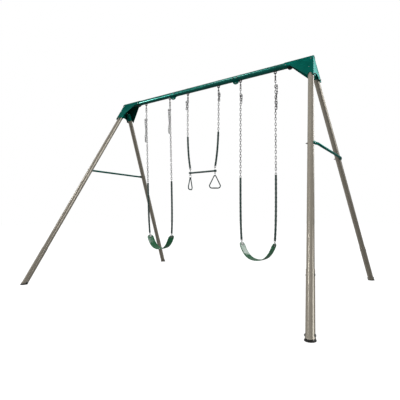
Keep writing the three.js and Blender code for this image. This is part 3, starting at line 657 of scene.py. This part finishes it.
def hand_ring(side):
    """A bent triangle with rounded corners, thicker along its base."""
    name = side_name(side)
    half_base = RING_WIDTH / 2 - RING_GAUGE - RING_LOW_R
    low_corner_z = -RING_HEIGHT + RING_GAUGE + RING_LOW_R
    top_corner = (0, -RING_GAUGE - RING_TOP_R, RING_TOP_R)
    right_corner = (half_base, low_corner_z, RING_LOW_R)
    left_corner = (-half_base, low_corner_z, RING_LOW_R)
    rise = top_corner[1] - low_corner_z
    narrowing = math.asin((RING_LOW_R - RING_TOP_R) / math.hypot(half_base, rise))
    start = math.pi / 2 - math.atan2(rise, half_base) - narrowing
    c, s = math.cos(RING_TURN[name]), math.sin(RING_TURN[name])
    points, radii = [], []

    def add(px, pz, r):
        points.append(Vector((side * BAR_EYE_X + px * c, px * s, RING_TOP_Z + pz)))
        radii.append(r)

    def arc(corner, a0, a1, r, n=10):
        for i in range(n + 1):
            a = a0 + (a1 - a0) * i / n
            add(corner[0] + corner[2] * math.cos(a), corner[1] + corner[2] * math.sin(a), r)

    low_gauge = RING_GAUGE + 0.0006
    arc(top_corner, math.pi - start, start, RING_GAUGE)
    arc(right_corner, start, -math.pi / 2, low_gauge)
    for i in range(1, 10):
        swell = 0.0012 * math.sin(math.pi * i / 10)
        add(half_base * (1 - 2 * i / 10), -RING_HEIGHT + RING_GAUGE, low_gauge + swell)
    arc(left_corner, -math.pi / 2, -math.pi - start, low_gauge)
    bm = bmesh.new()
    wire(bm, points, radii, sides=12)
    ob = piece("hand_ring_" + name, bm, BAR, name + "_ring", smooth=60)
    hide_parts("trapeze_ring_" + name)


def oval_link(side):
    """The link between an eye under the bar and a hand ring, as tall as the CAD's link."""
    name = side_name(side)
    low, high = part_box("ring_link_" + name)
    across = Vector((math.cos(OVAL_TURN[name]), math.sin(OVAL_TURN[name]), 0))
    bm = bmesh.new()
    points = oval((low + high) / 2, Z, across, high.z - low.z - 2 * OVAL_GAUGE, OVAL_WIDTH, 24)
    wire(bm, points, OVAL_GAUGE, sides=10)
    ob = piece("oval_link_" + name, bm, ZINC, name + "_ring_link", smooth=60)
    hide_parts("ring_link_" + name)


trapeze_bar()
for side in SIDES:
    hand_ring(side)
    oval_link(side)

# ---------------------------------------------------------------- fasteners on the frame
JOINT_BOLT_STEP = 0.036
CHEEK_FACE = LEG_R + 0.0055  # from a leg's centre line out to a bracket's cheek
WEB_FACE = LEG_R + 0.0085  # from a leg's centre line out to the face of a bracket's end web
BRACKET_BOLT_X = (1.415, 1.765)
CHEEK_BOLT_X, CHEEK_BOLT_Z = 1.757, 2.872
LEG_BOLT_Z = 2.752
FOOT_BOLT_Z = 0.0345
LEG_JOINT_BOLT_Z = 0.462
LEG_JOINT_Z = 0.505


def on_cheek(side, sy, x, z):
    """A point on the outer face of a bracket's sloping cheek."""
    y = math.tan(LEG_LEAN) * (LEG_TOP_Z - z) + CHEEK_FACE / math.cos(LEG_LEAN)
    return Vector((side * x, sy * y, z))


def beam_bolts():
    """The bolts of the beam's joints and joint saddles, and those over the hangers."""
    bm = bmesh.new()
    for side in SIDES:
        for x in (BEAM_JOINT_X + JOINT_BOLT_STEP, BEAM_JOINT_X - JOINT_BOLT_STEP):
            for sy in SIDES:
                at = Vector((side * x, sy * (BEAM_R + 0.0005), BEAM_Z))
                bolt(bm, at, Y * sy, 0.0065, 0.004, dome=True)
        for sy in SIDES:
            at = Vector((side * BEAM_JOINT_X, sy * 0.006, BEAM_Z - BEAM_R - 0.024))
            bolt(bm, at, Y * sy, 0.0065, 0.004, dome=sy < 0)
    for hanger_x in (TRAPEZE_X, INNER_X, OUTER_X):
        for side in SIDES:
            bolt(bm, Vector((side * hanger_x, 0, BEAM_Z + BEAM_R)), Z, 0.008, 0.004, dome=True)
    piece("beam_bolts", bm, BOLT, "frame")


def bracket_bolts(side):
    """The bolts of one end bracket: into the beam, on its cheeks, and through its legs."""
    bm = bmesh.new()
    for sy in SIDES:
        for x in BRACKET_BOLT_X:
            at = Vector((side * x, sy * (BEAM_R + 0.0048), BEAM_Z - 0.006))
            bolt(bm, at, Vector((0, sy, -0.1)), 0.0062, 0.004, dome=True)
        out = Vector((0, sy * math.cos(LEG_LEAN), math.sin(LEG_LEAN)))
        at = on_cheek(side, sy, CHEEK_BOLT_X, CHEEK_BOLT_Z)
        bolt(bm, at, out, 0.0050, 0.003, washer=False, dome=True)
        # the leg's bolt, with its thread sticking out beyond the end web
        face = leg_point(side, sy, LEG_BOLT_Z) + X * (side * WEB_FACE)
        bolt(bm, face, X * side, 0.0085, 0.007)
        thread_end(bm, face, X * side, 0.017)
    piece("bracket_bolts_" + side_name(side), bm, BOLT, "frame")


def leg_bolts(side, sy, tag, axis):
    """The bolt through one foot, and the two heads at the joint of its leg's tubes."""
    across = axis.cross(Y).normalized() * -side
    bm = bmesh.new()
    through_bolt(bm, leg_point(side, sy, FOOT_BOLT_Z), across, LOWER_LEG_R + 0.001, 0.0095, 0.010)
    centre = leg_point(side, sy, LEG_JOINT_BOLT_Z)
    for way in (1, -1):
        bolt(bm, centre + across * (way * (LOWER_LEG_R - 0.0005)), across * way, 0.0075, 0.004, dome=True)
    piece("leg_bolts_" + tag, bm, BOLT, "frame")


def leg_lip(side, sy, tag, axis):
    """The rolled lip of the lower tube, where the upper one goes in."""
    u, v, w = basis(axis)
    bm = bmesh.new()
    wire(bm, around(leg_point(side, sy, LEG_JOINT_Z), u, v, LEG_R + 0.0021, 40), 0.0016)
    piece("leg_lip_" + tag, bm, TAUPE, "frame")


beam_bolts()
for side in SIDES:
    bracket_bolts(side)
for side in SIDES:
    for sy in SIDES:
        tag = ("front_" if sy < 0 else "rear_") + side_name(side)
        axis = (leg_point(side, sy, 1) - leg_point(side, sy, 0)).normalized()
        leg_bolts(side, sy, tag, axis)
        leg_lip(side, sy, tag, axis)

# ---------------------------------------------------------------- floor and light
FLOOR_HALF = 40
FLOOR_Z = -0.0008
FLOOR_GREY = 0.20
FLOOR_GLOW = 0.93  # what the camera sees of the floor before any light falls on it
ROOM_LOW, ROOM_HIGH = 0.14, 0.50
WHITE = (1, 1, 1, 1)


def pale_floor():
    """A floor that looks nearly white to the camera but throws little light back on the object."""
    pale = bpy.data.materials.new("pale_floor")
    pale.use_nodes = True
    tree = pale.node_tree
    tree.nodes.clear()
    seen = node(tree, "LightPath")
    matte = node(tree, "BsdfDiffuse", Color=(FLOOR_GREY, FLOOR_GREY, FLOOR_GREY, 1))
    glow = node(tree, "Emission", Color=WHITE)
    faint = node(tree, "Math")
    faint.operation = "MULTIPLY"
    faint.inputs[1].default_value = FLOOR_GLOW
    tree.links.new(seen.outputs["Is Camera Ray"], faint.inputs[0])
    tree.links.new(faint.outputs[0], glow.inputs["Strength"])
    both = node(tree, "AddShader")
    tree.links.new(matte.outputs[0], both.inputs[0])
    tree.links.new(glow.outputs[0], both.inputs[1])
    tree.links.new(both.outputs[0], node(tree, "OutputMaterial").inputs["Surface"])
    return pale


def studio_room():
    """A white backdrop, with soft room light that is brighter from above than from below."""
    world = bpy.data.worlds.new("studio")
    world.use_nodes = True
    tree = world.node_tree
    tree.nodes.clear()
    seen = node(tree, "LightPath")
    where = node(tree, "TexCoord")
    split = node(tree, "SeparateXYZ")
    tree.links.new(where.outputs["Generated"], split.inputs[0])
    fade = node(tree, "MapRange", From_Min=-0.25, From_Max=0.9, To_Min=ROOM_LOW, To_Max=ROOM_HIGH)
    tree.links.new(split.outputs["Z"], fade.inputs["Value"])
    pick = node(tree, "Mix")
    pick.data_type = "FLOAT"
    tree.links.new(seen.outputs["Is Camera Ray"], pick.inputs[0])
    tree.links.new(fade.outputs["Result"], pick.inputs[2])
    pick.inputs[3].default_value = 1.0
    backdrop = node(tree, "Background", Color=WHITE)
    tree.links.new(pick.outputs[0], backdrop.inputs["Strength"])
    tree.links.new(backdrop.outputs[0], node(tree, "OutputWorld").inputs["Surface"])
    bpy.context.scene.world = world


def sun(name, toward, strength, angle, mirrored=True):
    """A broad soft light from far away; toward points from the object to the light."""
    data = bpy.data.lights.new(name, "SUN")
    data.energy = strength
    data.angle = math.radians(angle)
    ob = bpy.data.objects.new(name, data)
    ob.rotation_euler = Vector(toward).to_track_quat("Z", "Y").to_euler()
    ob.visible_glossy = mirrored
    bpy.context.scene.collection.objects.link(ob)


bm = bmesh.new()
bmesh.ops.create_grid(bm, x_segments=2, y_segments=2, size=FLOOR_HALF)
mesh = bpy.data.meshes.new("floor")
bm.to_mesh(mesh)
bm.free()
mesh.materials.append(pale_floor())
floor = bpy.data.objects.new("floor", mesh)
floor.location.z = FLOOR_Z
bpy.context.scene.collection.objects.link(floor)

studio_room()
sun("key", toward=(-0.73, -0.66, 0.06), strength=1.9, angle=13)
sun("top", toward=(-0.15, -0.45, 0.88), strength=0.9, angle=50, mirrored=False)
sun("fill", toward=(-0.46, -0.62, 0.60), strength=0.40, angle=9)
sun("rim", toward=(0.36, 0.80, 0.42), strength=0.6, angle=24)
sun("side", toward=(0.96, 0.08, 0.16), strength=1.5, angle=40)
bpy.context.scene.view_settings.view_transform = "Standard"
